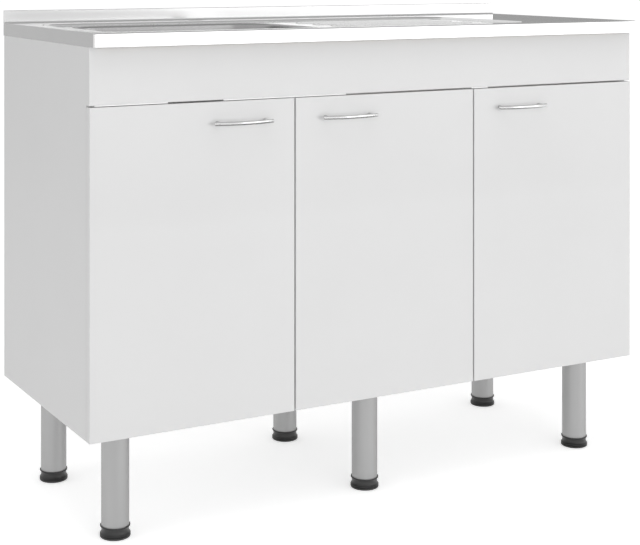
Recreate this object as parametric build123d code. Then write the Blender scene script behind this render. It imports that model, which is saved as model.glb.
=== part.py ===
from build123d import *
import os
from math import cos, radians, sin

# Kitchen sink unit: three-door cabinet on six metal legs with a pressed steel sink top.
# Millimetres. +X right, +Y back, +Z up. The origin is on the floor, under the middle of the whole object.

# ---------- Overall ----------
unit_width = 1200.0
worktop_depth = 500.0
worktop_height = 900.0
leg_height = 198.0
worktop_overhang = 18.5
rear_setback = 5.5

# ---------- Boards ----------
board = 16.0
door_thickness = 16.0
fascia_height = 100.0
door_count = 3
doors_left_of_partition = 2
front_gap = 3.0
door_clearance = 1.5
board_edge_round = 0.8
front_rail_height = 94.0
rear_rail_height = 100.0

# ---------- Sink top ----------
sheet = 0.8
edge_height = 25.0
edge_lip = 14.0
upstand_height = 25.0
upstand_thickness = 4.0
carrier_fit = 0.2
recess_depth = 4.0
recess_left_margin = 32.0
recess_right_margin = 232.0
recess_front_margin = 34.0
recess_rear_margin = 86.0
recess_corner = 62.0
recess_wall_slope = 35.0
bowl_from_left = 75.0
bowl_width = 425.0
bowl_from_front = 60.0
bowl_length = 297.0
bowl_corner = 66.0
bowl_depth = 130.0
bowl_wall_slope = 4.0
bowl_floor_round = 24.0
bowl_weld_gap = 0.02
carrier_bowl_clearance = 6.0
rib_count = 4
rib_pitch = 72.0
rib_width = 26.0
rib_length = 340.0
rib_height = 2.6
rib_slope = 45.0
rib_from_bowl = 58.0
rib_first_from_front = 90.0
tap_hole_radius = 17.5
tap_hole_from_left = 400.0
tap_hole_from_back = 48.0

# ---------- Legs ----------
leg_radius = 25.0
leg_wall = 1.5
leg_inset_side = 80.0
leg_inset_front = 66.0
leg_inset_rear = 66.0
leg_flange_side = 78.0
leg_flange_thickness = 3.0
leg_flange_corner = 8.0
leg_screw_spacing = 62.0
foot_ring_radius = 27.5
foot_ring_height = 4.6
foot_edge_round = 2.0
foot_chamfer = 1.0
foot_travel = 15.0
foot_gap = 0.3
spindle_radius = 5.0
spindle_fit = 0.1
spindle_grip = 31.0
spindle_chamfer = 1.0
insert_ring_height = 2.8
insert_neck_height = 10.4
insert_neck_radius = 24.6
insert_flange_height = 2.6
insert_flange_radius = 27.0
insert_plug_length = 30.0
insert_fit = 0.1
insert_chamfer = 1.0

# ---------- Handles ----------
handle_length = 121.0
handle_projection = 27.0
handle_end_projection = 15.0
handle_bar_height = 7.5
handle_bar_thickness = 5.0
handle_post_radius = 3.4
handle_hole_spacing = 96.0
handle_below_door_top = 38.0
handle_from_free_edge = 109.5
handle_edge_round = 1.8
handle_screw_radius = 2.0
handle_screw_bite = 9.0
handle_screw_head_radius = 4.0
handle_screw_head_height = 2.4

# ---------- Hinges ----------
hinge_from_door_end = 90.0
cup_edge_distance = 3.0
cup_radius = 17.5
cup_depth = 12.0
cup_wall = 0.9
cup_fit = 0.1
cup_floor_gap = 0.2
cup_flange_thickness = 1.0
cup_flange_near = 4.0
cup_flange_far = 19.0
cup_flange_half_height = 31.0
cup_flange_corner = 4.0
cup_screw_offset = 9.5
cup_screw_half_spacing = 26.0
arm_tip_from_door_edge = 28.2
arm_tip_from_door_rear = 7.4
arm_tip_radius = 2.0
arm_half_height = 6.0
arm_root_front = 24.0
arm_root_rear = 58.0
arm_root_width = 10.0
arm_plate_thickness = 2.0
arm_plate_front = 20.0
arm_plate_rear = 64.0
arm_plate_half_height = 22.0
arm_screw_from_front = 37.0
arm_screw_half_spacing = 16.0
fork_half_gap = 3.0
fork_depth = 6.0
arm_plate_corner = 5.0
arm_root_chamfer = 4.0
arm_nose_setback = 1.0
arm_pin_radius = 1.0
arm_pin_fit = 0.05
link_half_height = 2.8
link_tip_from_door_edge = 10.0
link_tip_from_door_rear = 3.0
link_end_radius = 1.9
link_tip_pin_half_height = 5.0

# ---------- Wood screws ----------
wood_screw_radius = 1.75
wood_screw_head_radius = 3.6
wood_screw_head_height = 2.0
wood_screw_length = 12.0
screw_fit = 0.1
screw_slot_width = 1.0
screw_slot_depth = 0.9
screw_head_crown = 0.45
screw_tip_point = 0.15

# ---------- Waste and trap ----------
strainer_flange_radius = 56.0
strainer_flange_thickness = 1.5
strainer_radius = 43.0
strainer_wall = 1.5
strainer_depth = 42.0
strainer_fit = 0.3
strainer_outlet_radius = 20.0
strainer_outlet_length = 26.0
strainer_flange_round = 1.2
clamp_fit = 0.1
gasket_thickness = 3.0
locknut_radius = 53.0
locknut_height = 12.0
locknut_lugs = 6
locknut_lug_radius = 5.0
basket_radius = 40.5
basket_height = 24.0
basket_wall = 1.0
basket_seat_height = 3.0
basket_seat_radius = 23.0
basket_post_fit = 0.1
basket_hole_radius = 2.3
basket_row_radii = (27.5, 34.0)
basket_row_counts = (14, 18)
basket_knob_radius = 9.0
basket_knob_height = 4.0
basket_knob_round = 1.4
basket_floor_round = 3.0
basket_post_radius = 4.0
basket_post_height = 22.0
inlet_radius = 16.0
inlet_wall = 1.6
inlet_below_housing_top = 55.0
housing_from_bowl_floor = 108.0
housing_radius = 31.0
housing_wall = 2.5
housing_height = 84.0
trap_cup_radius = 35.0
trap_cup_height = 44.0
trap_cup_overlap = 16.0
trap_cup_floor = 4.5
trap_cup_round = 6.0
trap_fit = 0.2
outlet_radius = 20.0
outlet_wall = 1.8
outlet_plug_radius = 19.4
outlet_below_housing_top = 26.0
outlet_stub_length = 22.0
nut_radius = 27.0
nut_height = 18.0
nut_flutes = 12
nut_flute_radius = 1.6
nut_chamfer = 1.0

# ---------- Derived places ----------
handle_reach = max(handle_projection - worktop_overhang, 0.0)
total_depth = worktop_depth + handle_reach
back_y = total_depth / 2
front_y = back_y - worktop_depth
left_x = -unit_width / 2
right_x = unit_width / 2
door_front_y = front_y + worktop_overhang
door_rear_y = door_front_y + door_thickness
carcass_front_y = door_rear_y + door_clearance
carcass_rear_y = back_y - rear_setback
carcass_top_z = worktop_height - edge_height
inner_floor_z = leg_height + board
door_pitch = unit_width / door_count
partition_x = left_x + doors_left_of_partition * door_pitch
door_top_z = carcass_top_z - fascia_height - front_gap
door_bottom_z = leg_height
upstand_y = back_y - upstand_thickness
recess_floor_z = worktop_height - recess_depth
bowl_floor_z = worktop_height - bowl_depth
bowl_x = left_x + bowl_from_left + bowl_width / 2
bowl_y = front_y + bowl_from_front + bowl_length / 2
tap_x = left_x + tap_hole_from_left
tap_y = back_y - tap_hole_from_back
strainer_bottom_z = bowl_floor_z - strainer_depth
strainer_outlet_z = strainer_bottom_z - strainer_outlet_length
housing_top_z = bowl_floor_z - housing_from_bowl_floor
outlet_z = housing_top_z - outlet_below_housing_top
outlet_stub_y = bowl_y + housing_radius + outlet_stub_length
insert_ring_z = foot_ring_height + foot_gap
insert_flange_z = insert_ring_z + insert_ring_height + insert_neck_height
leg_tube_bottom_z = insert_flange_z + insert_flange_height
cup_from_door_edge = cup_edge_distance + cup_radius


# ---------- Shape helpers ----------
def block(x0, x1, y0, y1, z0, z1):
    """A box between two corners."""
    centre = ((x0 + x1) / 2, (y0 + y1) / 2, (z0 + z1) / 2)
    return Pos(*centre) * Box(x1 - x0, y1 - y0, z1 - z0)


def post(radius, x, y, z0, z1):
    """An upright cylinder."""
    return Pos(x, y, (z0 + z1) / 2) * Cylinder(radius, z1 - z0)


def pipe_y(radius, x, z, y0, y1):
    """A cylinder along Y."""
    return Pos(x, (y0 + y1) / 2, z) * Rot(90, 0, 0) * Cylinder(radius, y1 - y0)


def pressed_prism(centre_x, centre_y, top_z, width, length, depth, corner, slope):
    """A rounded rectangle pushed downwards, with its walls leaning in by the slope."""
    plane = Plane(origin=(centre_x, centre_y, top_z), x_dir=(1, 0, 0), z_dir=(0, 0, -1))
    return extrude(plane * RectangleRounded(width, length, corner), amount=depth, taper=slope)


def round_edges(shape, edges, radius):
    """Rounds the given edges of a solid."""
    return fillet(edges, radius) if radius > 0 else shape


def rounded_board(x0, x1, y0, y1, z0, z1):
    """A board whose front edges are slightly rounded, as an edge band is."""
    blank = block(x0, x1, y0, y1, z0, z1)
    front = blank.faces().sort_by(Axis.Y)[0]
    return round_edges(blank, front.edges(), board_edge_round)


def screw_head(radius, height):
    """A cross-slotted pan head that stands on the origin. Its crown is a share of its height."""
    head = Pos(0, 0, height / 2) * Cylinder(radius, height)
    head = fillet(head.faces().sort_by(Axis.Z)[-1].edges(), height * screw_head_crown)
    for turn in (0, 90):
        head -= Pos(0, 0, height) * Rot(0, 0, turn) * Box(radius, screw_slot_width, 2 * screw_slot_depth)
    return head


def wood_screw():
    """A wood screw pointing down, with the underside of its head at the origin."""
    radius = wood_screw_radius
    shank_length = wood_screw_length - 2 * radius
    shank = Pos(0, 0, -shank_length / 2) * Cylinder(radius, shank_length)
    tip = Pos(0, 0, radius - wood_screw_length) * Cone(radius * screw_tip_point, radius, 2 * radius)
    return screw_head(wood_screw_head_radius, wood_screw_head_height) + shank + tip


def screw_hole(radius, length):
    """The hole of a screw that points down from the origin."""
    return Pos(0, 0, -(length + screw_fit) / 2) * Cylinder(radius + screw_fit, length + screw_fit)


def group(shapes):
    """Several separate solids under one name."""
    return Compound(children=[solid for shape in shapes for solid in shape.solids()])


# ---------- Legs ----------
def leg_places():
    """Names and centres of the six legs."""
    columns = {"left": left_x + leg_inset_side, "middle": 0.0, "right": right_x - leg_inset_side}
    rows = {"front": carcass_front_y + leg_inset_front, "rear": carcass_rear_y - leg_inset_rear}
    return {f"{row}_{column}": (x, y) for row, y in rows.items() for column, x in columns.items()}


def leg_screw_locations(x, y):
    """Screws of one leg flange, pointing up into the bottom panel."""
    half = leg_screw_spacing / 2
    underside = leg_height - leg_flange_thickness
    return [Pos(x + i * half, y + j * half, underside) * Rot(180, 0, 0) for i in (-1, 1) for j in (-1, 1)]


def leg_tube(x, y):
    """A steel tube welded to a square flange."""
    flange_plane = Plane(origin=(x, y, leg_height - leg_flange_thickness))
    outline = RectangleRounded(leg_flange_side, leg_flange_side, leg_flange_corner)
    flange = extrude(flange_plane * outline, amount=leg_flange_thickness)
    tube = post(leg_radius, x, y, leg_tube_bottom_z, leg_height - leg_flange_thickness)
    tube -= post(leg_radius - leg_wall, x, y, leg_tube_bottom_z, leg_height - leg_flange_thickness)
    leg = tube + flange
    for place in leg_screw_locations(x, y):
        leg -= place * screw_hole(wood_screw_radius, leg_flange_thickness)
    return leg


def leg_insert(x, y):
    """The plastic plug in a leg's lower end: ring, waisted neck and flange, with the thread of the foot."""
    ring_z = insert_ring_z
    neck_z = ring_z + insert_ring_height
    flange_z = insert_flange_z
    plug_z = leg_tube_bottom_z + insert_plug_length
    cut = insert_chamfer
    ring = foot_ring_radius
    flange = insert_flange_radius
    plug_radius = leg_radius - leg_wall - insert_fit
    waist = (insert_neck_radius, (neck_z + flange_z) / 2)
    with BuildSketch(Plane.XZ) as profile:
        with BuildLine():
            Polyline((0, ring_z), (ring - cut, ring_z), (ring, ring_z + cut))
            Polyline((ring, ring_z + cut), (ring, neck_z - cut), (ring - cut, neck_z))
            ThreePointArc((ring - cut, neck_z), waist, (flange - cut, flange_z))
            Polyline((flange - cut, flange_z), (flange, flange_z + cut), (flange, leg_tube_bottom_z))
            Polyline((flange, leg_tube_bottom_z), (plug_radius, leg_tube_bottom_z), (plug_radius, plug_z))
            Polyline((plug_radius, plug_z), (0, plug_z), (0, ring_z))
        make_face()
    plug = revolve(profile.sketch, axis=Axis.Z)
    plug -= post(spindle_radius + spindle_fit, 0, 0, 0, plug_z)
    return Pos(x, y, 0) * plug


def foot(x, y):
    """A foot disc on its threaded spindle."""
    disc = post(foot_ring_radius, 0, 0, 0, foot_ring_height)
    disc = fillet(disc.faces().sort_by(Axis.Z)[0].edges(), foot_edge_round)
    disc = chamfer(disc.faces().sort_by(Axis.Z)[-1].edges(), foot_chamfer)
    spindle_top = foot_ring_height + foot_gap + spindle_grip + foot_travel
    spindle = post(spindle_radius, 0, 0, foot_ring_height, spindle_top)
    spindle = chamfer(spindle.faces().sort_by(Axis.Z)[-1].edges(), spindle_chamfer)
    return Pos(x, y, 0) * (disc + spindle)


def leg_parts():
    parts = {}
    inserts = []
    for name, (x, y) in leg_places().items():
        parts[f"leg_{name}"] = leg_tube(x, y)
        parts[f"foot_{name}"] = foot(x, y)
        inserts.append(leg_insert(x, y))
    parts["leg_inserts"] = group(inserts)
    return parts


# ---------- Doors and hinges ----------
def door_places():
    """Each door's hinge edge, free edge, the panel face that its hinges sit on, and its direction.

    The direction is +1 for a door hinged on its left edge and -1 for one hinged on its right edge.
    """
    first = left_x + door_pitch
    second = partition_x
    half = front_gap / 2
    return {
        "left": (left_x, first - half, left_x + board, 1),
        "middle": (second - half, first + half, partition_x - board / 2, -1),
        "right": (right_x, second + half, right_x - board, -1),
    }


def hinge_frame(edge_x, way, z):
    """Moves a hinge piece drawn from the door's hinge edge and rear face to its place."""
    return Pos(edge_x, door_rear_y, z), way


def put(shape, frame):
    """Places a hinge piece, mirrored for a door that is hinged on its right edge."""
    place, way = frame
    return place * (shape if way > 0 else mirror(shape, about=Plane.YZ))


def hinge_heights():
    return (door_top_z - hinge_from_door_end, door_bottom_z + hinge_from_door_end)


def cup_screw_locations():
    """Screws of one cup, pointing forwards into the door."""
    across = cup_from_door_edge + cup_screw_offset
    return [
        Pos(across, cup_flange_thickness, side * cup_screw_half_spacing) * Rot(-90, 0, 0)
        for side in (-1, 1)
    ]


def hinge_cup():
    """A pressed cup with a flange on the door's rear face."""
    outer_radius = cup_radius - cup_fit
    cup = pipe_y(outer_radius, cup_from_door_edge, 0, -cup_depth, 0)
    flange = block(
        cup_from_door_edge - cup_flange_near,
        cup_from_door_edge + cup_flange_far,
        0,
        cup_flange_thickness,
        -cup_flange_half_height,
        cup_flange_half_height,
    )
    flange = fillet(flange.edges().filter_by(Axis.Y), cup_flange_corner)
    cup += flange
    floor_v = cup_wall - cup_depth
    cup -= pipe_y(outer_radius - cup_wall, cup_from_door_edge, 0, floor_v, cup_flange_thickness)
    for place in cup_screw_locations():
        cup -= place * screw_hole(wood_screw_radius, cup_flange_thickness)
    return cup


def arm_screw_locations(panel_u):
    """Screws of one arm, pointing into the panel that carries it."""
    depth = door_clearance + arm_screw_from_front
    return [
        Pos(panel_u + arm_plate_thickness, depth, side * arm_screw_half_spacing) * Rot(0, 90, 0)
        for side in (-1, 1)
    ]


def hinge_arm(panel_u):
    """The arm on its mounting plate. It reaches forwards into the cup and ends in a fork."""
    tip_u = arm_tip_from_door_edge
    tip_v = -arm_tip_from_door_rear
    base_u = panel_u + arm_plate_thickness
    outline = [
        (base_u, arm_root_front),
        (tip_u - arm_tip_radius, door_clearance + arm_nose_setback),
        (tip_u - arm_tip_radius, tip_v),
        (tip_u + arm_tip_radius, tip_v),
        (tip_u + arm_tip_radius, door_clearance + fork_depth),
        (base_u + arm_root_width, arm_root_rear - arm_root_chamfer),
        (base_u + arm_root_width - arm_root_chamfer, arm_root_rear),
        (base_u, arm_root_rear),
    ]
    with BuildSketch() as profile:
        Polygon(*outline, align=None)
        with Locations((tip_u, tip_v)):
            Circle(arm_tip_radius)
    arm = Pos(0, 0, -arm_half_height) * extrude(profile.sketch, amount=2 * arm_half_height)
    arm -= block(
        tip_u - 2 * arm_tip_radius,
        tip_u + 2 * arm_tip_radius,
        tip_v - 2 * arm_tip_radius,
        0,
        -fork_half_gap,
        fork_half_gap,
    )
    plate = block(
        panel_u,
        base_u,
        arm_plate_front,
        arm_plate_rear,
        -arm_plate_half_height,
        arm_plate_half_height,
    )
    plate = fillet(plate.edges().filter_by(Axis.X), arm_plate_corner)
    arm += plate
    arm -= post(arm_pin_radius + arm_pin_fit, tip_u, tip_v, -arm_half_height, arm_half_height)
    for place in arm_screw_locations(panel_u):
        arm -= place * screw_hole(wood_screw_radius, arm_plate_thickness)
    return arm


def hinge_arm_pin():
    return post(
        arm_pin_radius,
        arm_tip_from_door_edge,
        -arm_tip_from_door_rear,
        -arm_half_height,
        arm_half_height,
    )


def hinge_link():
    """The link from the arm's fork to the cup, with the cup's pin riveted in."""
    near = (arm_tip_from_door_edge, -arm_tip_from_door_rear)
    far = (link_tip_from_door_edge, -link_tip_from_door_rear)
    with BuildSketch() as profile:
        with Locations(near, far):
            Circle(link_end_radius)
        make_hull()
    link = Pos(0, 0, -link_half_height) * extrude(profile.sketch, amount=2 * link_half_height)
    link -= post(arm_pin_radius + arm_pin_fit, *near, -link_half_height, link_half_height)
    link += post(arm_pin_radius, *far, -link_tip_pin_half_height, link_tip_pin_half_height)
    return link


def handle_centre(edge_x, free_x, way):
    """Where a door's handle is."""
    return free_x - way * handle_from_free_edge, door_top_z - handle_below_door_top


def handle_post_reach():
    """How far a handle's post goes out from the door, to the middle of the bar's thickness."""
    bow = handle_projection - handle_end_projection
    share = (handle_hole_spacing / handle_length) ** 2
    return handle_end_projection + bow * (1 - share) - handle_bar_thickness / 2


def handle(x, z):
    """A bow handle: an arched bar on two round posts."""
    half = handle_length / 2
    front_end = handle_end_projection
    rear_end = front_end - handle_bar_thickness
    rear_middle = handle_projection - handle_bar_thickness
    with BuildSketch(Plane.XY) as arch:
        with BuildLine():
            ThreePointArc((-half, -front_end), (0, -handle_projection), (half, -front_end))
            Line((half, -front_end), (half, -rear_end))
            ThreePointArc((half, -rear_end), (0, -rear_middle), (-half, -rear_end))
            Line((-half, -rear_end), (-half, -front_end))
        make_face()
    bar = Pos(0, 0, -handle_bar_height / 2) * extrude(arch.sketch, amount=handle_bar_height)
    bar = fillet(bar.edges(), handle_edge_round)
    for side in (-1, 1):
        post_x = side * handle_hole_spacing / 2
        bar += pipe_y(handle_post_radius, post_x, 0, -handle_post_reach(), 0)
        bar -= pipe_y(handle_screw_radius, post_x, 0, -handle_screw_bite, 0)
    return Pos(x, door_front_y, z) * bar


def handle_screw_locations(x, z):
    """Screws of one handle, pointing forwards through the door."""
    return [
        Pos(x + side * handle_hole_spacing / 2, door_rear_y, z) * Rot(-90, 0, 0)
        for side in (-1, 1)
    ]


def handle_screw():
    """A machine screw through the door that ends in the handle's post."""
    length = door_thickness + handle_screw_bite - screw_fit
    shank = Pos(0, 0, -length / 2) * Cylinder(handle_screw_radius - screw_fit, length)
    return screw_head(handle_screw_head_radius, handle_screw_head_height) + shank


def door_panel(edge_x, free_x, way):
    """A door with its cup bores, cup screw holes and handle holes."""
    low_x, high_x = sorted((edge_x, free_x))
    panel = rounded_board(low_x, high_x, door_front_y, door_rear_y, door_bottom_z, door_top_z)
    for z in hinge_heights():
        frame = hinge_frame(edge_x, way, z)
        panel -= put(pipe_y(cup_radius, cup_from_door_edge, 0, -cup_depth - cup_floor_gap, 0), frame)
        for place in cup_screw_locations():
            panel -= put(place * screw_hole(wood_screw_radius, wood_screw_length), frame)
    x, z = handle_centre(edge_x, free_x, way)
    for place in handle_screw_locations(x, z):
        panel -= place * screw_hole(handle_screw_radius, door_thickness)
    return panel


def door_parts():
    parts = {}
    arm_pins = []
    for name, (edge_x, free_x, panel_x, way) in door_places().items():
        panel_u = (panel_x - edge_x) * way
        frames = [hinge_frame(edge_x, way, z) for z in hinge_heights()]
        x, z = handle_centre(edge_x, free_x, way)
        parts[f"door_{name}"] = door_panel(edge_x, free_x, way)
        parts[f"handle_{name}"] = handle(x, z)
        parts[f"handle_screws_{name}"] = group(
            [place * handle_screw() for place in handle_screw_locations(x, z)]
        )
        parts[f"hinge_cups_{name}"] = group([put(hinge_cup(), frame) for frame in frames])
        parts[f"cup_screws_{name}"] = group(
            [put(place * wood_screw(), frame) for frame in frames for place in cup_screw_locations()]
        )
        parts[f"hinge_arms_{name}"] = group([put(hinge_arm(panel_u), frame) for frame in frames])
        parts[f"hinge_links_{name}"] = group([put(hinge_link(), frame) for frame in frames])
        arm_pins += [put(hinge_arm_pin(), frame) for frame in frames]
    parts["hinge_arm_pins"] = group(arm_pins)
    return parts


# ---------- Carcass ----------
def arm_screw_holes(panel_names):
    """The holes of the arm screws in the panel that carries the hinges of the named doors."""
    holes = []
    for name, (edge_x, free_x, panel_x, way) in door_places().items():
        if name not in panel_names:
            continue
        panel_u = (panel_x - edge_x) * way
        for z in hinge_heights():
            for place in arm_screw_locations(panel_u):
                hole = place * screw_hole(wood_screw_radius, wood_screw_length)
                holes.append(put(hole, hinge_frame(edge_x, way, z)))
    return holes


def upright(x0, doors):
    """An upright panel that stands on the bottom panel."""
    panel = rounded_board(x0, x0 + board, carcass_front_y, carcass_rear_y, inner_floor_z, carcass_top_z)
    for hole in arm_screw_holes(doors):
        panel -= hole
    return panel


def bottom_panel():
    panel = rounded_board(left_x, right_x, carcass_front_y, carcass_rear_y, leg_height, inner_floor_z)
    for x, y in leg_places().values():
        for place in leg_screw_locations(x, y):
            panel -= place * screw_hole(wood_screw_radius, wood_screw_length)
    return panel


def rails():
    """Upright rails that brace the carcass, one left and one right of the partition."""
    bays = {
        "left": (left_x + board, partition_x - board / 2),
        "right": (partition_x + board / 2, right_x - board),
    }
    front_y0 = carcass_front_y
    rear_y0 = carcass_rear_y - board
    parts = {}
    for name, (x0, x1) in bays.items():
        parts[f"front_rail_{name}"] = block(
            x0, x1, front_y0, front_y0 + board, carcass_top_z - front_rail_height, carcass_top_z
        )
        parts[f"rear_top_rail_{name}"] = block(
            x0, x1, rear_y0, carcass_rear_y, carcass_top_z - rear_rail_height, carcass_top_z
        )
        parts[f"rear_bottom_rail_{name}"] = block(
            x0, x1, rear_y0, carcass_rear_y, inner_floor_z, inner_floor_z + rear_rail_height
        )
    return parts


def carcass_screws():
    """The equal wood screws that hold the hinge arms and the leg flanges to the carcass."""
    screws = []
    for edge_x, free_x, panel_x, way in door_places().values():
        for z in hinge_heights():
            for place in arm_screw_locations((panel_x - edge_x) * way):
                screws.append(put(place * wood_screw(), hinge_frame(edge_x, way, z)))
    for x, y in leg_places().values():
        screws += [place * wood_screw() for place in leg_screw_locations(x, y)]
    return group(screws)


def carcass_parts():
    parts = {
        "side_panel_left": upright(left_x, ("left",)),
        "side_panel_right": upright(right_x - board, ("right",)),
        "partition_panel": upright(partition_x - board / 2, ("middle",)),
        "bottom_panel": bottom_panel(),
        "fascia_panel": rounded_board(
            left_x,
            right_x,
            carcass_front_y - door_thickness,
            carcass_front_y,
            carcass_top_z - fascia_height,
            carcass_top_z,
        ),
    }
    parts["carcass_screws"] = carcass_screws()
    parts.update(rails())
    return parts


# ---------- Sink top ----------
def recess_prism(growth, depth):
    """The pressed recess, grown sideways by growth and pushed down by depth."""
    x0 = left_x + recess_left_margin
    x1 = right_x - recess_right_margin
    y0 = front_y + recess_front_margin
    y1 = back_y - recess_rear_margin
    return pressed_prism(
        (x0 + x1) / 2,
        (y0 + y1) / 2,
        worktop_height,
        x1 - x0 + 2 * growth,
        y1 - y0 + 2 * growth,
        depth,
        recess_corner + growth,
        recess_wall_slope,
    )


def bowl_prism(growth, depth, floor_round):
    """The bowl's body, grown sideways by growth, with a rounded foot."""
    body = pressed_prism(
        bowl_x,
        bowl_y,
        recess_floor_z,
        bowl_width + 2 * growth,
        bowl_length + 2 * growth,
        depth,
        bowl_corner + growth,
        bowl_wall_slope,
    )
    return fillet(body.faces().sort_by(Axis.Z)[0].edges(), floor_round)


def rib_prism(index):
    """One raised rib of the drainer."""
    start_x = left_x + bowl_from_left + bowl_width + rib_from_bowl
    y = front_y + rib_first_from_front + index * rib_pitch
    plane = Plane(origin=(start_x + rib_length / 2, y, recess_floor_z))
    return extrude(plane * SlotOverall(rib_length, rib_width), amount=rib_height, taper=rib_slope)


def sink_deck():
    """The pressed steel top: flat deck, recess with ribs, turned-down edges with lips, and the upstand."""
    top = worktop_height
    low = carcass_top_z
    deck = block(left_x, right_x, front_y, upstand_y + sheet, top - sheet, top)
    deck -= recess_prism(0, sheet * 2)
    deck += recess_prism(sheet, recess_depth + sheet) - recess_prism(0, recess_depth)
    for index in range(rib_count):
        deck += rib_prism(index)
        deck -= Pos(0, 0, -sheet) * rib_prism(index)
    deck -= bowl_opening()
    deck -= post(tap_hole_radius, tap_x, tap_y, top - 2 * sheet, top + sheet)
    deck += block(left_x, right_x, front_y, front_y + sheet, low, top)
    deck += block(left_x, left_x + sheet, front_y, back_y, low, top)
    deck += block(right_x - sheet, right_x, front_y, back_y, low, top)
    deck += block(left_x, right_x, back_y - sheet, back_y, low, top + upstand_height)
    deck += block(left_x, right_x, upstand_y, upstand_y + sheet, top - sheet, top + upstand_height)
    deck += block(left_x, right_x, upstand_y, back_y, top + upstand_height - sheet, top + upstand_height)
    lips = block(left_x, right_x, front_y, back_y, low, low + sheet)
    lips -= block(
        left_x + edge_lip, right_x - edge_lip, front_y + edge_lip, back_y - edge_lip, low, low + sheet
    )
    return deck + lips


def bowl_opening():
    """The bowl's opening in the deck, a welding gap wider than the bowl."""
    growth = sheet + bowl_weld_gap
    return pressed_prism(
        bowl_x,
        bowl_y,
        recess_floor_z,
        bowl_width + 2 * growth,
        bowl_length + 2 * growth,
        sheet * 2,
        bowl_corner + growth,
        bowl_wall_slope,
    )


def carrier_board():
    """The board under the steel sheet, inside its turned-down edges."""
    inset = sheet + carrier_fit
    low = carcass_top_z + sheet
    high = recess_floor_z - sheet - carrier_fit
    core = block(left_x + inset, right_x - inset, front_y + inset, upstand_y - carrier_fit, low, high)
    growth = sheet + carrier_bowl_clearance
    opening = RectangleRounded(bowl_width + 2 * growth, bowl_length + 2 * growth, bowl_corner + growth)
    core -= extrude(Plane(origin=(bowl_x, bowl_y, low)) * opening, amount=high - low)
    return core - post(tap_hole_radius, tap_x, tap_y, low, high)


def sink_bowl():
    """The drawn bowl, open at the top, with the strainer's hole in its floor."""
    inner_depth = recess_floor_z - bowl_floor_z
    bowl = bowl_prism(sheet, inner_depth + sheet, bowl_floor_round + sheet)
    bowl -= bowl_prism(0, inner_depth, bowl_floor_round)
    hole_radius = strainer_radius + strainer_fit
    return bowl - post(hole_radius, bowl_x, bowl_y, bowl_floor_z - 2 * sheet, bowl_floor_z + sheet)


# ---------- Waste and trap ----------
def strainer_body():
    """The strainer's cup with its flange on the bowl's floor and its outlet spigot."""
    flange_top = bowl_floor_z + strainer_flange_thickness
    flange = post(strainer_flange_radius, bowl_x, bowl_y, bowl_floor_z, flange_top)
    flange = fillet(flange.faces().sort_by(Axis.Z)[-1].edges(), strainer_flange_round)
    body = flange + post(strainer_radius, bowl_x, bowl_y, strainer_bottom_z, bowl_floor_z)
    body += post(strainer_outlet_radius, bowl_x, bowl_y, strainer_outlet_z, strainer_bottom_z)
    cup_radius_inside = strainer_radius - strainer_wall
    body -= post(cup_radius_inside, bowl_x, bowl_y, strainer_bottom_z + strainer_wall, flange_top)
    bore_radius = strainer_outlet_radius - strainer_wall
    return body - post(bore_radius, bowl_x, bowl_y, strainer_outlet_z, strainer_bottom_z + strainer_wall)


def basket_floor_z():
    """The underside of the basket's floor, on top of the stopper's seal."""
    return strainer_bottom_z + strainer_wall + basket_seat_height


def strainer_basket():
    """The perforated cup that lifts out of the strainer."""
    floor_z = basket_floor_z()
    cup = post(basket_radius, 0, 0, floor_z, floor_z + basket_height)
    cup = fillet(cup.faces().sort_by(Axis.Z)[0].edges(), basket_floor_round)
    hollow = post(basket_radius - basket_wall, 0, 0, floor_z + basket_wall, floor_z + basket_height)
    cup -= fillet(hollow.faces().sort_by(Axis.Z)[0].edges(), basket_floor_round - basket_wall)
    for row_radius, count in zip(basket_row_radii, basket_row_counts):
        for index in range(count):
            angle = radians(360 * index / count)
            x = row_radius * cos(angle)
            y = row_radius * sin(angle)
            cup -= post(basket_hole_radius, x, y, floor_z, floor_z + basket_wall)
    cup -= post(basket_post_radius + basket_post_fit, 0, 0, floor_z, floor_z + basket_wall)
    return Pos(bowl_x, bowl_y, 0) * cup


def basket_stopper():
    """The basket's stopper: a seal over the outlet, a stem through the basket's floor and a knob."""
    floor_z = basket_floor_z()
    knob_z = floor_z + basket_post_height
    seal = post(basket_seat_radius, 0, 0, floor_z - basket_seat_height, floor_z)
    stem = post(basket_post_radius, 0, 0, floor_z, knob_z)
    knob = post(basket_knob_radius, 0, 0, knob_z, knob_z + basket_knob_height)
    knob = fillet(knob.edges(), basket_knob_round)
    return Pos(bowl_x, bowl_y, 0) * (seal + stem + knob)


def clamp_ring(outer_radius, z0, z1):
    """A ring round the strainer's body."""
    ring = post(outer_radius, bowl_x, bowl_y, z0, z1)
    return ring - post(strainer_radius + clamp_fit, bowl_x, bowl_y, z0, z1)


def strainer_gasket():
    top = bowl_floor_z - sheet
    return clamp_ring(locknut_radius, top - gasket_thickness, top)


def strainer_locknut():
    """The lock nut with its grip lugs."""
    top = bowl_floor_z - sheet - gasket_thickness
    nut = clamp_ring(locknut_radius, top - locknut_height, top)
    for index in range(locknut_lugs):
        angle = radians(360 * index / locknut_lugs)
        x = bowl_x + locknut_radius * cos(angle)
        y = bowl_y + locknut_radius * sin(angle)
        nut += post(locknut_lug_radius, x, y, top - locknut_height, top)
    return nut


def trap_inlet_pipe():
    """The dip pipe from the strainer's outlet down into the trap."""
    inside = inlet_radius - inlet_wall
    low = housing_top_z - inlet_below_housing_top
    high = strainer_outlet_z
    pipe = post(inlet_radius, bowl_x, bowl_y, low, high)
    pipe += post(strainer_outlet_radius, bowl_x, bowl_y, high - inlet_wall, high)
    return pipe - post(inside, bowl_x, bowl_y, low, high)


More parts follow.
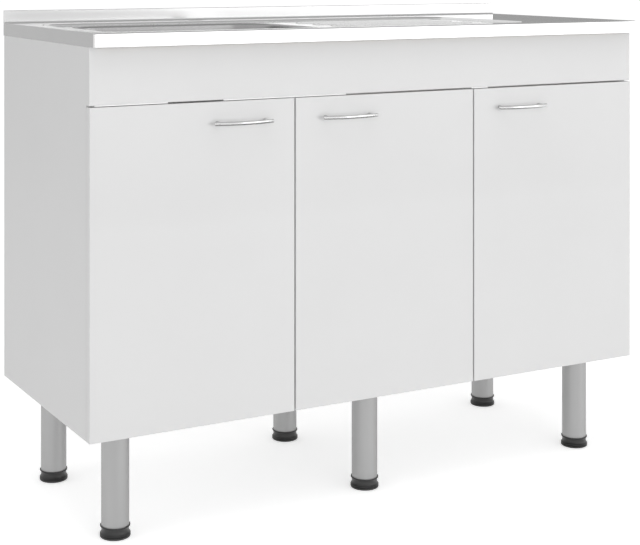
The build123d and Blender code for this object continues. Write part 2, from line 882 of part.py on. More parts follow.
def trap_housing():
    """The bottle trap's upper part, closed round the inlet pipe, with the outlet's stub at the back."""
    low = housing_top_z - housing_height
    body = post(housing_radius, bowl_x, bowl_y, low, housing_top_z)
    stub_radius = outlet_plug_radius + trap_fit + housing_wall
    body += pipe_y(stub_radius, bowl_x, outlet_z, bowl_y, outlet_stub_y)
    body -= post(housing_radius - housing_wall, bowl_x, bowl_y, low, housing_top_z - housing_wall)
    body -= post(inlet_radius + trap_fit, bowl_x, bowl_y, low, housing_top_z)
    body -= pipe_y(outlet_radius - outlet_wall, bowl_x, outlet_z, bowl_y, outlet_stub_y)
    socket = pipe_y(outlet_plug_radius + trap_fit, bowl_x, outlet_z, bowl_y + housing_radius, outlet_stub_y)
    return body - socket


def trap_cup():
    """The screw-off cup under the trap."""
    high = housing_top_z - housing_height + trap_cup_overlap
    low = high - trap_cup_height
    cup = post(trap_cup_radius, bowl_x, bowl_y, low, high)
    cup = fillet(cup.faces().sort_by(Axis.Z)[0].edges(), trap_cup_round)
    bore = housing_radius + trap_fit
    return cup - post(bore, bowl_x, bowl_y, low + trap_cup_floor, high)


def outlet_pipe():
    """The waste pipe from its plug end in the trap to level with the rear edge of the worktop."""
    start = bowl_y + housing_radius
    pipe = pipe_y(outlet_plug_radius, bowl_x, outlet_z, start, outlet_stub_y)
    pipe += pipe_y(outlet_radius, bowl_x, outlet_z, outlet_stub_y, back_y)
    return pipe - pipe_y(outlet_radius - outlet_wall, bowl_x, outlet_z, start, back_y)


def fluted_nut(inner_radius):
    """An upright coupling nut with grip flutes, standing on the origin."""
    nut = Pos(0, 0, nut_height / 2) * Cylinder(nut_radius, nut_height)
    nut = chamfer(nut.edges(), nut_chamfer)
    for index in range(nut_flutes):
        angle = radians(360 * index / nut_flutes)
        nut -= post(nut_flute_radius, nut_radius * cos(angle), nut_radius * sin(angle), 0, nut_height)
    return nut - post(inner_radius, 0, 0, 0, nut_height)


def trap_nuts():
    """The coupling nuts at the strainer's outlet and on top of the trap."""
    upper_z = strainer_outlet_z - inlet_wall
    upper = Pos(bowl_x, bowl_y, upper_z) * fluted_nut(strainer_outlet_radius + trap_fit)
    lower = Pos(bowl_x, bowl_y, housing_top_z) * fluted_nut(inlet_radius + trap_fit)
    return group([upper, lower])


def sink_parts():
    return {
        "sink_deck": sink_deck(),
        "carrier_board": carrier_board(),
        "sink_bowl": sink_bowl(),
        "strainer_body": strainer_body(),
        "strainer_basket": strainer_basket(),
        "basket_stopper": basket_stopper(),
        "strainer_gasket": strainer_gasket(),
        "strainer_locknut": strainer_locknut(),
        "trap_inlet_pipe": trap_inlet_pipe(),
        "trap_housing": trap_housing(),
        "trap_cup": trap_cup(),
        "outlet_pipe": outlet_pipe(),
        "trap_nuts": trap_nuts(),
    }


# ---------- Whole unit ----------
def sink_unit():
    parts = carcass_parts()
    parts.update(door_parts())
    parts.update(leg_parts())
    parts.update(sink_parts())
    return parts


os.makedirs("parts", exist_ok=True)
for node, shape in sink_unit().items():
    export_step(shape, f"parts/{node}.step")
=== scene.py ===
import math

import bmesh
import bpy
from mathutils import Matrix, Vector
from mathutils.geometry import delaunay_2d_cdt


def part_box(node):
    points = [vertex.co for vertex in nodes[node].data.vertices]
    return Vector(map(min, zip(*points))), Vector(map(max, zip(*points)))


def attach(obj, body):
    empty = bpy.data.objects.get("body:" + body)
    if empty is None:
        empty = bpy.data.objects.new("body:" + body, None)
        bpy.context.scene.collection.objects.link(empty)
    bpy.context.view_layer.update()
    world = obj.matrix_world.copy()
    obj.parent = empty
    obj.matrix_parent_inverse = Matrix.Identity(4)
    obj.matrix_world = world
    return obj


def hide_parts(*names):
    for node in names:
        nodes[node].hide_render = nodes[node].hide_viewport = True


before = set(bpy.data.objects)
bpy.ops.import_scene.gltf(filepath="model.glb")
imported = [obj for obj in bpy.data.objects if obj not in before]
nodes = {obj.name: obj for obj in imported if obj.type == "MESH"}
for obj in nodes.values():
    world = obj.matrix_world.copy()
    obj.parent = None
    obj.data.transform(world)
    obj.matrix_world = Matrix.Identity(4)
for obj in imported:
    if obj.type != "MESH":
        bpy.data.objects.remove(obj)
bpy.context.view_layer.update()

# Looks of the kitchen sink unit. Metres, in the CAD model's frame: +X right, +Y back, +Z up.
MM = 0.001
BASE = "cabinet"
scene = bpy.context.scene


# ---------- Node materials ----------
# Octaves of the noise behind the colour and behind the bump.
DRIFT_DETAIL, BUMP_DETAIL = 4.0, 2.0


def new_material(name):
    """A material with its tree and its shader."""
    material = bpy.data.materials.new(name)
    material.use_nodes = True
    tree = material.node_tree
    shader = tree.nodes["Principled BSDF"]
    return material, tree, shader


def add(tree, kind, inputs=None, **settings):
    """Adds a node. Each input is a value, or a socket that is linked to it."""
    node = tree.nodes.new(kind)
    for key, value in settings.items():
        setattr(node, key, value)
    for key, value in (inputs or {}).items():
        if isinstance(value, bpy.types.NodeSocket):
            tree.links.new(value, node.inputs[key])
        else:
            node.inputs[key].default_value = value
    return node


def grey(value, tint=(1.0, 1.0, 1.0)):
    """An opaque grey, tinted if asked."""
    return (value * tint[0], value * tint[1], value * tint[2], 1.0)


def ramp(tree, source, low, high, start=0.3, end=0.7):
    """Maps a noise value to a range of greys or colours."""
    node = add(tree, "ShaderNodeValToRGB", {"Fac": source})
    node.color_ramp.elements[0].position = start
    node.color_ramp.elements[1].position = end
    node.color_ramp.elements[0].color = low
    node.color_ramp.elements[1].color = high
    return node.outputs["Color"]


def place(tree, scale):
    """Object coordinates, stretched by a scale along each axis."""
    coordinates = add(tree, "ShaderNodeTexCoord")
    mapping = add(tree, "ShaderNodeMapping", {"Vector": coordinates.outputs["Object"]})
    mapping.inputs["Scale"].default_value = scale
    return mapping.outputs["Vector"]


def noise(tree, scale, detail, stretch=(1.0, 1.0, 1.0)):
    """Smooth noise in object coordinates."""
    inputs = {"Vector": place(tree, stretch), "Scale": scale, "Detail": detail}
    return add(tree, "ShaderNodeTexNoise", inputs).outputs["Fac"]


def span(tree, source, low, high):
    """Maps 0..1 to low..high."""
    inputs = {"Value": source, "To Min": low, "To Max": high}
    return add(tree, "ShaderNodeMapRange", inputs).outputs["Result"]


def bump(tree, shader, height, distance):
    """Lets a height move the shading by a real distance."""
    node = add(tree, "ShaderNodeBump", {"Height": height, "Distance": distance, "Strength": 1.0})
    tree.links.new(node.outputs["Normal"], shader.inputs["Normal"])


def surface(name, low, high, rough_low, rough_high, scale, bump_scale, bump_depth, stretch=(1.0, 1.0, 1.0),
            metallic=0.0):
    """A surface whose colour and roughness drift a little, with a fine bump."""
    material, tree, shader = new_material(name)
    drift = noise(tree, scale, DRIFT_DETAIL, stretch)
    tree.links.new(ramp(tree, drift, low, high), shader.inputs["Base Color"])
    tree.links.new(span(tree, drift, rough_low, rough_high), shader.inputs["Roughness"])
    shader.inputs["Metallic"].default_value = metallic
    bump(tree, shader, noise(tree, bump_scale, BUMP_DETAIL, stretch), bump_depth)
    return material


def board_faced():
    """White melamine facing: pale, satin, with the fine pores of its pressed foil."""
    return surface("white_melamine", grey(0.735), grey(0.755), 0.42, 0.5, 3.0, 900.0, 0.00004)


def board_raw():
    """Raw particle board: flakes of several browns."""
    material, tree, shader = new_material("particle_board")
    cells = add(tree, "ShaderNodeTexVoronoi", {"Vector": place(tree, (1.0, 1.0, 2.2)), "Scale": 420.0})
    flake = add(tree, "ShaderNodeSeparateColor", {"Color": cells.outputs["Color"]})
    tone = ramp(tree, flake.outputs["Red"], (0.34, 0.25, 0.16, 1), (0.66, 0.54, 0.39, 1), 0.05, 0.95)
    tree.links.new(tone, shader.inputs["Base Color"])
    tree.links.new(span(tree, flake.outputs["Green"], 0.75, 0.95), shader.inputs["Roughness"])
    bump(tree, shader, cells.outputs["Distance"], 0.0002)
    return material


def metal(name, tone, rough_low, rough_high, stretch, scale, bump_scale, bump_depth, drift=0.03):
    """Bare or coated metal with faint rolling or drawing marks along one axis."""
    return surface(name, grey(tone - drift), grey(tone + drift), rough_low, rough_high, scale, bump_scale,
                   bump_depth, stretch, metallic=1.0)


STEEL = metal("polished_steel", 0.68, 0.09, 0.11, (0.2, 1.0, 1.0), 18.0, 2400.0, 0.0000002, 0.006)
# Same sheet steel as the deck, rougher as a brushed finish; its lighter tone is painted light on the
# upstand.
LIT_BRUSHED_STEEL = metal("brushed_steel_painted_light", 0.79, 0.26, 0.30, (0.2, 1.0, 1.0), 18.0, 2400.0, 0.0000006, 0.006)
# Same steel as the deck, rougher as a satin finish; its darker tone is painted shade inside the bowl.
SHADED_BOWL_STEEL = metal("satin_steel_painted_shade", 0.41, 0.22, 0.30, (1.0, 0.3, 1.0), 14.0, 1800.0, 0.000002, 0.015)
BOARD = board_faced()
RAW_BOARD = board_raw()
LEG = metal("satin_leg_metal", 0.39, 0.42, 0.5, (1.0, 1.0, 0.06), 30.0, 1400.0, 0.000008, 0.02)
HANDLE = metal("satin_chrome", 0.72, 0.16, 0.24, (0.1, 1.0, 1.0), 40.0, 2000.0, 0.000004, 0.03)
ZINC = metal("bright_zinc", 0.60, 0.26, 0.38, (1.0, 1.0, 1.0), 60.0, 900.0, 0.00001, 0.06)
BLACK = surface("moulded_black_plastic", grey(0.018), grey(0.034), 0.3, 0.4, 40.0, 1500.0, 0.00002)
WARM_TINT = (1.0, 1.0, 0.97)
WHITE_PLASTIC = surface("moulded_white_plastic", grey(0.66, WARM_TINT), grey(0.74, WARM_TINT), 0.32, 0.42,
                        25.0, 900.0, 0.00002)
RUBBER = surface("pale_rubber", grey(0.50), grey(0.56), 0.7, 0.85, 60.0, 1200.0, 0.00004)

# The first prefix that fits a node's name gives its material.
BY_PREFIX = (
    ("hinge_", ZINC),
    ("cup_screws", ZINC),
    ("carcass_screws", ZINC),
    ("handle_screws", ZINC),
    ("handle_", HANDLE),
    ("leg_inserts", BLACK),
    ("foot_", BLACK),
    ("leg_", LEG),
    ("sink_deck", STEEL),
    ("sink_bowl", SHADED_BOWL_STEEL),
    ("carrier_board", RAW_BOARD),
    ("strainer_gasket", RUBBER),
    ("strainer_locknut", WHITE_PLASTIC),
    ("strainer_", STEEL),
    ("basket_stopper", BLACK),
    ("trap_", WHITE_PLASTIC),
    ("outlet_pipe", WHITE_PLASTIC),
    ("", BOARD),
)


def dress(obj, material):
    """Gives an object one material."""
    obj.data.materials.clear()
    obj.data.materials.append(material)


for node_name, node_object in nodes.items():
    dress(node_object, next(material for prefix, material in BY_PREFIX if node_name.startswith(prefix)))


# ---------- Mesh helpers ----------
SAME_PLACE = 1e-6
FLAT_TOLERANCE = 1e-7
CORNER_STEPS = 14
RIB_CORNER_STEPS = 10


def make_object(name, mesh_builder, material):
    """Turns a bmesh into a smooth object with one material."""
    mesh = bpy.data.meshes.new(name)
    bmesh.ops.remove_doubles(mesh_builder, verts=mesh_builder.verts, dist=SAME_PLACE)
    bmesh.ops.recalc_face_normals(mesh_builder, faces=mesh_builder.faces)
    mesh_builder.to_mesh(mesh)
    mesh_builder.free()
    obj = bpy.data.objects.new(name, mesh)
    scene.collection.objects.link(obj)
    for face in mesh.polygons:
        face.use_smooth = True
    dress(obj, material)
    return obj


def weigh_normals(obj):
    """Keeps flat areas flat next to narrow rounded strips."""
    modifier = obj.modifiers.new("flat_areas", "WEIGHTED_NORMAL")
    modifier.keep_sharp = True


def rounded_loop(x0, x1, y0, y1, radius, z, steps):
    """A closed loop of points round a rectangle with rounded corners."""
    left, right, front, rear = x0 + radius, x1 - radius, y0 + radius, y1 - radius
    points = []
    for corner, (cx, cy) in enumerate(((right, rear), (left, rear), (left, front), (right, front))):
        for i in range(steps + 1):
            turn = math.radians(90 * corner + 90 * i / steps)
            points.append(Vector((cx + radius * math.cos(turn), cy + radius * math.sin(turn), z)))
    return points


def strip(bm, loops, close=True):
    """Quads between loops with equally many points. Returns the vertices of the first and last loop."""
    rows = [[bm.verts.new(point) for point in loop] for loop in loops]
    count = len(rows[0])
    for low, high in zip(rows, rows[1:]):
        for i in range(count if close else count - 1):
            j = (i + 1) % count
            bm.faces.new((low[i], low[j], high[j], high[i]))
    return rows[0], rows[-1]


def closed_strip(bm, loops):
    """Quads between loops, closed by a face at either end."""
    for end in strip(bm, loops):
        bm.faces.new(end)


def flat_fill(bm, outer, holes):
    """Triangles between an outer loop and holes, all at the height of the outer loop."""
    z = outer[0].z
    points, edges = [], []
    for loop in [outer, *holes]:
        first = len(points)
        points += [Vector((p.x, p.y)) for p in loop]
        edges += [(first + i, first + (i + 1) % len(loop)) for i in range(len(loop))]
    made, _, faces, _, _, _ = delaunay_2d_cdt(points, edges, [], 1, FLAT_TOLERANCE)
    hole_loops = [[Vector((p.x, p.y)) for p in loop] for loop in holes]
    corners = [bm.verts.new((p.x, p.y, z)) for p in made]
    for face in faces:
        middle = sum((made[i] for i in face), Vector((0.0, 0.0))) / len(face)
        if not any(inside(middle, loop) for loop in hole_loops):
            bm.faces.new([corners[i] for i in face])


def inside(point, loop):
    """Whether a flat point is inside a closed loop."""
    found = False
    for a, b in zip(loop, loop[1:] + loop[:1]):
        if (a.y > point.y) != (b.y > point.y):
            if point.x < (b.x - a.x) * (point.y - a.y) / (b.y - a.y) + a.x:
                found = not found
    return found


# ---------- Sink top ----------
deck_low, deck_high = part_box("sink_deck")
SHEET = 0.8 * MM
BEND_ANGLES = range(0, 91, 15)
UPSTAND_HEIGHT = 25 * MM
UPSTAND_THICKNESS = 4 * MM
UPSTAND_EASE = 1.4 * MM
# How far each row near an end of the upstand is from that end, and how far it draws in.
UPSTAND_ENDS = ((0.0, 0.8 * MM), (0.25 * MM, 0.25 * MM), (0.8 * MM, 0.0))
COVE = 3 * MM
COVE_STEPS = 5
TOP_Z = deck_high.z - UPSTAND_HEIGHT
# Faces above this height take the brushed steel whose lighter tone is painted light.
LIT_UPSTAND_FROM_Z = TOP_Z + 1 * MM
EDGE_ROUND = 2 * MM
PLAN_ROUND = 2.5 * MM
PLAN_STEPS = 6
LIP = 14 * MM
LIP_EASE = 0.6 * MM
RECESS = (deck_low.x + 32 * MM, deck_high.x - 232 * MM, deck_low.y + 34 * MM, deck_high.y - 86 * MM)
RECESS_CORNER = 62 * MM
RECESS_DEPTH = 4 * MM
RECESS_WALL_OUT, RECESS_WALL_WIDTH, RECESS_STEPS = 2 * MM, 8 * MM, 8
RECESS_Z = TOP_Z - RECESS_DEPTH
BOWL = (deck_low.x + 75 * MM, deck_low.x + 500 * MM, deck_low.y + 60 * MM, deck_low.y + 357 * MM)
BOWL_CORNER = 66 * MM
BOWL_RIM = 4 * MM
BOWL_FLOOR_Z = TOP_Z - 130 * MM
BOWL_SLOPE = math.tan(math.radians(4))
BOWL_WALL_STEPS = 4
FLOOR_ROUND = 24 * MM
FLOOR_ROUND_STEPS = 8
DRAIN_DISH_RADIUS = 60 * MM
DRAIN_RADIUS = 43.3 * MM
BOWL_CENTRE = Vector(((BOWL[0] + BOWL[1]) / 2, (BOWL[2] + BOWL[3]) / 2, 0))
RIB_START_X = BOWL[1] + 58 * MM
RIB_LENGTH, RIB_HALF_WIDTH, RIB_HEIGHT = 340 * MM, 13 * MM, 2.6 * MM
RIB_SLOPE, RIB_STEPS = 10 * MM, 7
# Keeps a rib's round end a hair short of a half circle, so that no two of its points fall together.
RIB_END_SLACK = 0.01 * MM
RIB_FIRST, RIB_PITCH, RIB_COUNT = 90 * MM, 72 * MM, 4
RIB_LINES = [deck_low.y + RIB_FIRST + RIB_PITCH * i for i in range(RIB_COUNT)]
TAP = (deck_low.x + 400 * MM, deck_high.y - 48 * MM)
TAP_RADIUS = 17.5 * MM
# Past the hole's radius, and down from the deck: the hole's rounded edge.
TAP_EDGE = ((0.8 * MM, 0.0), (0.2 * MM, 0.2 * MM), (0.0, SHEET))


def grown(box, corner, growth, z, steps=CORNER_STEPS):
    """A rounded rectangle, larger by the growth on every side."""
    x0, x1, y0, y1 = box
    return rounded_loop(x0 - growth, x1 + growth, y0 - growth, y1 + growth, corner + growth, z, steps)


def circle(x, y, radius, z, steps=48):
    """A closed loop of points round a circle."""
    turns = [2 * math.pi * i / steps for i in range(steps)]
    return [Vector((x + radius * math.cos(turn), y + radius * math.sin(turn), z)) for turn in turns]


def smooth_drop(share):
    """An S-curve from 0 to 1, as a pressed step has."""
    return share * share * (3 - 2 * share)


def rib_loop(y, inset, z):
    """One level of a rib of the drainer, with round ends."""
    box = (RIB_START_X, RIB_START_X + RIB_LENGTH, y - RIB_HALF_WIDTH, y + RIB_HALF_WIDTH)
    return grown(box, RIB_HALF_WIDTH - RIB_END_SLACK, -inset, z, RIB_CORNER_STEPS)


def edge_path():
    """Points and outward directions round the front of the deck, from the left rear to the right rear."""
    x0, x1, y0, y1 = deck_low.x, deck_high.x, deck_low.y, deck_high.y - UPSTAND_THICKNESS
    path = [((x0 + PLAN_ROUND, y1), (-1, 0))]
    for cx, start in ((x0 + PLAN_ROUND, 180), (x1 - PLAN_ROUND, 270)):
        for i in range(PLAN_STEPS + 1):
            turn = math.radians(start + 90 * i / PLAN_STEPS)
            path.append(((cx, y0 + PLAN_ROUND), (math.cos(turn), math.sin(turn))))
    path.append(((x1 - PLAN_ROUND, y1), (1, 0)))
    return path


def edge_row(inset, z):
    """One row of the deck's turned-down edge, inset from its outer face."""
    reach = PLAN_ROUND - inset
    return [Vector((cx + nx * reach, cy + ny * reach, z)) for (cx, cy), (nx, ny) in edge_path()]


def deck_edge(bm):
    """The rounded bend and the turned-down edge. Returns the bend's upper row."""
    rows = []
    for a in BEND_ANGLES:
        turn = math.radians(a)
        rows.append(edge_row(EDGE_ROUND * (1 - math.sin(turn)), TOP_Z - EDGE_ROUND * (1 - math.cos(turn))))
    rows += [edge_row(0, deck_low.z + LIP_EASE), edge_row(LIP_EASE, deck_low.z)]
    strip(bm, rows, close=False)
    return rows[0]


def folded_lips(bm):
    """The lips folded in under the deck's edge, on all four sides."""
    x0, x1, y0, y1 = deck_low.x, deck_high.x, deck_low.y, deck_high.y
    for a, b, c, d in ((x0, x1, y0, y0 + LIP), (x0, x0 + LIP, y0 + LIP, y1), (x1 - LIP, x1, y0 + LIP, y1),
                       (x0 + LIP, x1 - LIP, y1 - LIP, y1)):
        plate = (a + LIP_EASE, b - LIP_EASE, c + LIP_EASE, d - LIP_EASE)
        thin_plate(bm, *plate, deck_low.z, deck_low.z + SHEET)


def tap_hole(bm):
    """The hole's rounded edge. Returns its upper loop."""
    loops = [circle(*TAP, TAP_RADIUS + out, TOP_Z - down) for out, down in TAP_EDGE]
    strip(bm, loops)
    return loops[0]


def recess_wall(bm):
    """The pressed step round the recess. Returns its upper and lower loop."""
    loops = []
    for i in range(RECESS_STEPS + 1):
        share = i / RECESS_STEPS
        growth = RECESS_WALL_OUT - RECESS_WALL_WIDTH * share
        loops.append(grown(RECESS, RECESS_CORNER, growth, TOP_Z - RECESS_DEPTH * smooth_drop(share)))
    strip(bm, loops)
    return loops[0], loops[-1]


def rib(bm, y):
    """One raised rib of the drainer. Returns its lower loop."""
    loops = []
    for i in range(RIB_STEPS + 1):
        share = i / RIB_STEPS
        loops.append(rib_loop(y, RIB_SLOPE * share, RECESS_Z + RIB_HEIGHT * smooth_drop(share)))
    _, top = strip(bm, loops)
    bm.faces.new(top)
    return loops[0]


def rear_cove(bm, rear_y):
    """The hollow bend from the deck up into the upstand."""
    rows = []
    for i in range(COVE_STEPS + 1):
        share = i / COVE_STEPS
        turn = math.radians(90 * share)
        y = rear_y - COVE + COVE * math.sin(turn)
        z = TOP_Z + COVE * (1 - math.cos(turn))
        end = PLAN_ROUND * (1 - share) / 2
        rows.append([Vector((deck_low.x + end, y, z)), Vector((deck_high.x - end, y, z))])
    strip(bm, rows, close=False)


def sink_top():
    """The pressed top in one mesh: deck, recess, ribs, turned-down edges and upstand."""
    bm = bmesh.new()
    rear_y = deck_high.y - UPSTAND_THICKNESS
    outer = [Vector((p.x, min(p.y, rear_y - COVE), TOP_Z)) for p in deck_edge(bm)]
    folded_lips(bm)
    recess_top, recess_foot = recess_wall(bm)
    flat_fill(bm, outer, [recess_top, tap_hole(bm)])
    rib_feet = [rib(bm, y) for y in RIB_LINES]
    bowl_rim = grown(BOWL, BOWL_CORNER, BOWL_RIM, RECESS_Z)
    flat_fill(bm, recess_foot, [bowl_rim, *rib_feet])
    rear_cove(bm, rear_y)
    upstand(bm)
    top = make_object("sink_top_sheet", bm, STEEL)
    # The upstand's faces get the lighter steel: painted light on the upstand.
    top.data.materials.append(LIT_BRUSHED_STEEL)
    for face in top.data.polygons:
        if max(top.data.vertices[i].co.z for i in face.vertices) > LIT_UPSTAND_FROM_Z:
            face.material_index = 1
    weigh_normals(top)
    return top


def thin_plate(bm, x0, x1, y0, y1, z0, z1):
    """A closed thin plate."""
    low = [Vector((x, y, z0)) for x, y in ((x0, y0), (x1, y0), (x1, y1), (x0, y1))]
    closed_strip(bm, [low, [Vector((p.x, p.y, z1)) for p in low]])


def upstand_profile():
    """The upstand's cross-section, from its front foot over the rounded top to its rear foot."""
    front, rear = deck_high.y - UPSTAND_THICKNESS, deck_high.y
    low, high = deck_low.z, deck_high.z
    turns = [math.radians(a) for a in (0, 22, 45, 68, 90)]
    rise = [(UPSTAND_EASE * (1 - math.cos(turn)), UPSTAND_EASE * (1 - math.sin(turn))) for turn in turns]
    profile = [(front, low)]
    profile += [(front + across, high - down) for across, down in rise]
    profile += [(rear - across, high - down) for across, down in reversed(rise)]
    return [*profile, (rear, low)]


def upstand(bm):
    """The folded upstand with rounded edges, down to the deck's lower edge at the back."""
    middle_y = deck_high.y - UPSTAND_THICKNESS / 2
    ends = [(deck_low.x + away, inset) for away, inset in UPSTAND_ENDS]
    ends += [(deck_high.x - away, inset) for away, inset in reversed(UPSTAND_ENDS)]
    rows = []
    for x, inset in ends:
        row = []
        for y, z in upstand_profile():
            shift = inset if y < middle_y else -inset
            row.append(Vector((x, y + shift, min(z, deck_high.z - inset))))
        rows.append(row)
    closed_strip(bm, rows)


def drain_loop(radius, z):
    """A circle round the drain, with its points in step with the bowl's loops."""
    loop = []
    for point in grown(BOWL, BOWL_CORNER, 0, z):
        out = Vector((point.x - BOWL_CENTRE.x, point.y - BOWL_CENTRE.y, 0)).normalized()
        loop.append(Vector((BOWL_CENTRE.x, BOWL_CENTRE.y, z)) + out * radius)
    return loop


def sink_basin():
    """The drawn bowl with a rolled rim, leaning walls, a rounded foot and a flat floor."""
    bm = bmesh.new()
    loops = []
    for a in BEND_ANGLES:
        turn = math.radians(a)
        growth = BOWL_RIM * (1 - math.sin(turn))
        loops.append(grown(BOWL, BOWL_CORNER, growth, RECESS_Z - BOWL_RIM * (1 - math.cos(turn))))
    knee_z = BOWL_FLOOR_Z + FLOOR_ROUND
    depth = RECESS_Z - BOWL_RIM - knee_z
    for i in range(1, BOWL_WALL_STEPS + 1):
        down = depth * i / BOWL_WALL_STEPS
        loops.append(grown(BOWL, BOWL_CORNER, -down * BOWL_SLOPE, RECESS_Z - BOWL_RIM - down))
    inset = depth * BOWL_SLOPE
    for i in range(1, FLOOR_ROUND_STEPS + 1):
        turn = math.radians(90 * i / FLOOR_ROUND_STEPS)
        growth = -inset - FLOOR_ROUND * (1 - math.cos(turn))
        loops.append(grown(BOWL, BOWL_CORNER, growth, knee_z - FLOOR_ROUND * math.sin(turn)))
    loops.append(drain_loop(DRAIN_DISH_RADIUS, BOWL_FLOOR_Z))
    loops.append(drain_loop(DRAIN_RADIUS, BOWL_FLOOR_Z))
    strip(bm, loops)
    # The bowl's darker steel is painted shade inside it.
    bowl = make_object("sink_basin", bm, SHADED_BOWL_STEEL)
    skin = bowl.modifiers.new("sheet", "SOLIDIFY")
    skin.thickness = SHEET
    skin.offset = -1.0
    weigh_normals(bowl)
    return bowl


top_sheet = sink_top()
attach(top_sheet, BASE)
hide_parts("sink_deck")
basin = sink_basin()
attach(basin, BASE)
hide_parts("sink_bowl")


# ---------- Handles ----------
# From the door to the front of the bar at its ends.
HANDLE_END = 15 * MM
HANDLE_THICKNESS = 5 * MM
# 1 is a plain oval across the bar, and less is fuller.
HANDLE_FULLNESS = 0.7
HANDLE_STEPS = 48
HANDLE_SIDES = 20
POST_SPACING = 96 * MM
POST_RADIUS = 3.4 * MM
POST_SIDES = 32


class Bow:
    """The line of a handle's bar: an arc in front of the door."""

    def __init__(self, side):
        low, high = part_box("handle_" + side)
        self.centre = Vector(((low.x + high.x) / 2, high.y, (low.z + high.z) / 2))
        self.half_height = (high.z - low.z) / 2
        half = (high.x - low.x) / 2
        depth = high.y - low.y - HANDLE_END
        self.radius = (half * half + depth * depth) / (2 * depth)
        self.middle_y = low.y + self.radius
        self.half_turn = math.asin(half / self.radius)

    def section(self, turn, size=1.0):
        """A full oval across the bar. A size below 1 shrinks it, for the rounded ends."""
        row = []
        for point in circle(0, 0, 1, 0, HANDLE_SIDES):
            u, v = (math.copysign(abs(w) ** HANDLE_FULLNESS, w) for w in (point.x, point.y))
            reach = self.radius + (u * size - 1) * HANDLE_THICKNESS / 2
            x = self.centre.x + reach * math.sin(turn)
            y = self.middle_y - reach * math.cos(turn)
            row.append(Vector((x, y, self.centre.z + v * self.half_height * size)))
        return row

    def bar(self, bm):
        """The bar from end to end, rounded at both ends."""
        end_turn = HANDLE_THICKNESS / 2 / self.radius
        ends = [(1 - math.cos(math.radians(a)), math.sin(math.radians(a))) for a in (25, 45, 65)]
        last = self.half_turn - end_turn
        turns = [(-self.half_turn + end_turn * short, size) for short, size in ends]
        turns += [(last * (2 * i / HANDLE_STEPS - 1), 1.0) for i in range(HANDLE_STEPS + 1)]
        turns += [(self.half_turn - end_turn * short, size) for short, size in reversed(ends)]
        closed_strip(bm, [self.section(turn, size) for turn, size in turns])

    def post(self, bm, way):
        """A round post from the door into the bar."""
        x = way * POST_SPACING / 2
        tip_y = self.middle_y - math.sqrt((self.radius - HANDLE_THICKNESS / 2) ** 2 - x * x)
        ring = circle(self.centre.x + x, self.centre.z, POST_RADIUS, 0, POST_SIDES)
        closed_strip(bm, [[Vector((p.x, y, p.y)) for p in ring] for y in (self.centre.y, tip_y)])


def bow_handle(side):
    """An arched bar of rounded section on two round posts."""
    bow = Bow(side)
    bm = bmesh.new()
    bow.bar(bm)
    for way in (-1, 1):
        bow.post(bm, way)
    handle = make_object("bow_handle_" + side, bm, HANDLE)
    weigh_normals(handle)
    return handle


for side in ("left", "middle", "right"):
    grip = bow_handle(side)
    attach(grip, side + "_door")
    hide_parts("handle_" + side)


# ---------- Floor, light and camera ----------
def light_path(tree):
    """How much a ray is a camera, glossy or transmission ray."""
    rays = add(tree, "ShaderNodeLightPath").outputs
    inputs = {0: rays["Is Camera Ray"], 1: rays["Is Glossy Ray"]}
    seen = add(tree, "ShaderNodeMath", inputs, operation="ADD")
    inputs = {0: seen.outputs[0], 1: rays["Is Transmission Ray"]}
    return add(tree, "ShaderNodeMath", inputs, operation="ADD", use_clamp=True).outputs[0]


def stage_sheet(name, corners, material):
    """A flat sheet that belongs to the studio, not to the object."""
    bm = bmesh.new()
    bm.faces.new([bm.verts.new(point) for point in corners])
    mesh = bpy.data.meshes.new(name)
    bm.to_mesh(mesh)
    bm.free()
    sheet = bpy.data.objects.new(name, mesh)
    scene.collection.objects.link(sheet)
    dress(sheet, material)
    return sheet


def floor():
    """A large pale floor that stays white to the eye and keeps the object's shadow."""
    material, tree, shader = new_material("pale_floor")
    shader.inputs["Base Color"].default_value = grey(0.86)
    shader.inputs["Roughness"].default_value = 0.9
    shader.inputs["Specular IOR Level"].default_value = 0.0
    glow = add(tree, "ShaderNodeEmission", {"Color": grey(1.0)})
    tree.links.new(span(tree, light_path(tree), 0.0, 0.53), glow.inputs["Strength"])
    both = add(tree, "ShaderNodeAddShader")
    tree.links.new(shader.outputs[0], both.inputs[0])
    tree.links.new(glow.outputs[0], both.inputs[1])
    tree.links.new(both.outputs[0], tree.nodes["Material Output"].inputs["Surface"])
    reach, z = 60.0, -0.5 * MM
    corners = ((-reach, -reach, z), (reach, -reach, z), (reach, reach, z), (-reach, reach, z))
    stage_sheet("floor", corners, material)


def studio_world():
    """White to the eye and in reflections, softer as a light."""
    world = bpy.data.worlds.new("studio")
    world.use_nodes = True
    scene.world = world
    tree = world.node_tree
    background = tree.nodes["Background"]
    background.inputs["Color"].default_value = grey(1.0)
    tree.links.new(span(tree, light_path(tree), 0.6, 1.0), background.inputs["Strength"])


def lamp(name, spot, target, size, power, in_reflections=True):
    """A softbox that faces its target."""
    data = bpy.data.lights.new(name, "AREA")
    data.shape = "RECTANGLE"
    data.size, data.size_y = size
    data.energy = power
    obj = bpy.data.objects.new(name, data)
    scene.collection.objects.link(obj)
    obj.location = spot
    obj.rotation_mode = "QUATERNION"
    obj.rotation_quaternion = (Vector(target) - Vector(spot)).to_track_quat("-Z", "Y")
    obj.visible_glossy = in_reflections


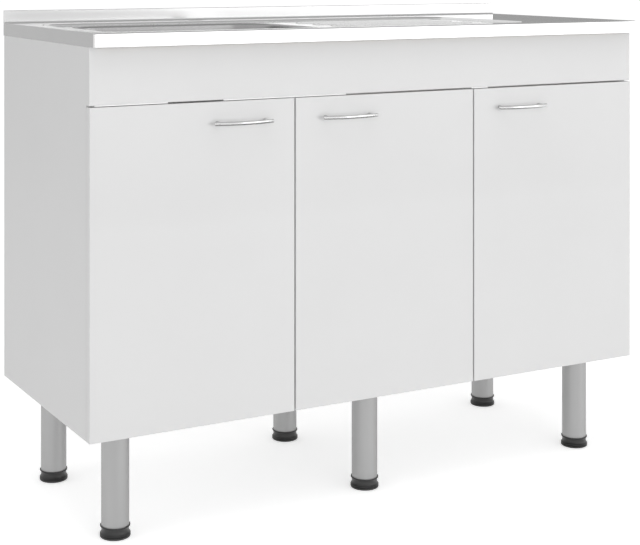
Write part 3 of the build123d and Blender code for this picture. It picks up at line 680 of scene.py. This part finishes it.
def grey_card(name, corners, tone):
    """A flat grey card that shows in reflections alone."""
    material, tree, _ = new_material(name)
    glow = add(tree, "ShaderNodeEmission", {"Color": grey(tone)})
    tree.links.new(glow.outputs[0], tree.nodes["Material Output"].inputs["Surface"])
    card = stage_sheet(name, corners, material)
    card.visible_camera = False
    card.visible_diffuse = False
    card.visible_shadow = False


def upright_card(x0, x1, y, z0, z1):
    """Corners of a card that stands across the view."""
    return (x0, y, z0), (x1, y, z0), (x1, y, z1), (x0, y, z1)


def level_card(x0, x1, y0, y1, z):
    """Corners of a level card."""
    return (x0, y0, z), (x1, y0, z), (x1, y1, z), (x0, y1, z)


def camera():
    """A level camera with shift, as the photograph's upright lines show."""
    data = bpy.data.cameras.new("photo_view")
    data.sensor_width = 36.0
    data.lens = 81.975
    data.shift_x = 0.0599
    data.shift_y = -0.4812
    data.clip_start, data.clip_end = 0.1, 200.0
    obj = bpy.data.objects.new("photo_view", data)
    scene.collection.objects.link(obj)
    obj.location = (-1.4882, -2.5701, 1.0167)
    obj.rotation_euler = (math.radians(90), 0, math.radians(-28.27))
    scene.camera = obj


scene.view_settings.view_transform = "Standard"
floor()
studio_world()
lamp("right_softbox", (4.96, -6.34, 1.0), (-0.55, 0.0, 1.0), (6.5, 2.0), 56.0)
lamp("front_softbox", (0.3, -5.0, 1.1), (0.3, 0.0, 0.7), (4.0, 2.0), 60.0, in_reflections=False)
lamp("left_softbox", (-5.0, -0.6, 1.9), (0.0, 0.0, 0.6), (3.0, 2.4), 21.0, in_reflections=False)
lamp("top_softbox", (-0.4, -0.8, 3.2), (0.0, 0.0, 0.9), (2.4, 1.8), 20.0, in_reflections=False)
grey_card("rear_left_card", upright_card(-6.0, 0.5, 5.0, 0.0, 3.0), 0.64)
grey_card("rear_right_card", upright_card(0.5, 9.0, 5.0, 0.0, 3.0), 0.37)
grey_card("front_card", upright_card(-9.0, 12.0, -9.5, 3.2, 5.0), 0.85)
grey_card("roof_card", level_card(-9.0, 12.0, -9.5, 4.0, 5.0), 0.58)
grey_card("under_card", level_card(-0.8, 0.8, -1.0, -0.27, 0.55), 0.3)
camera()
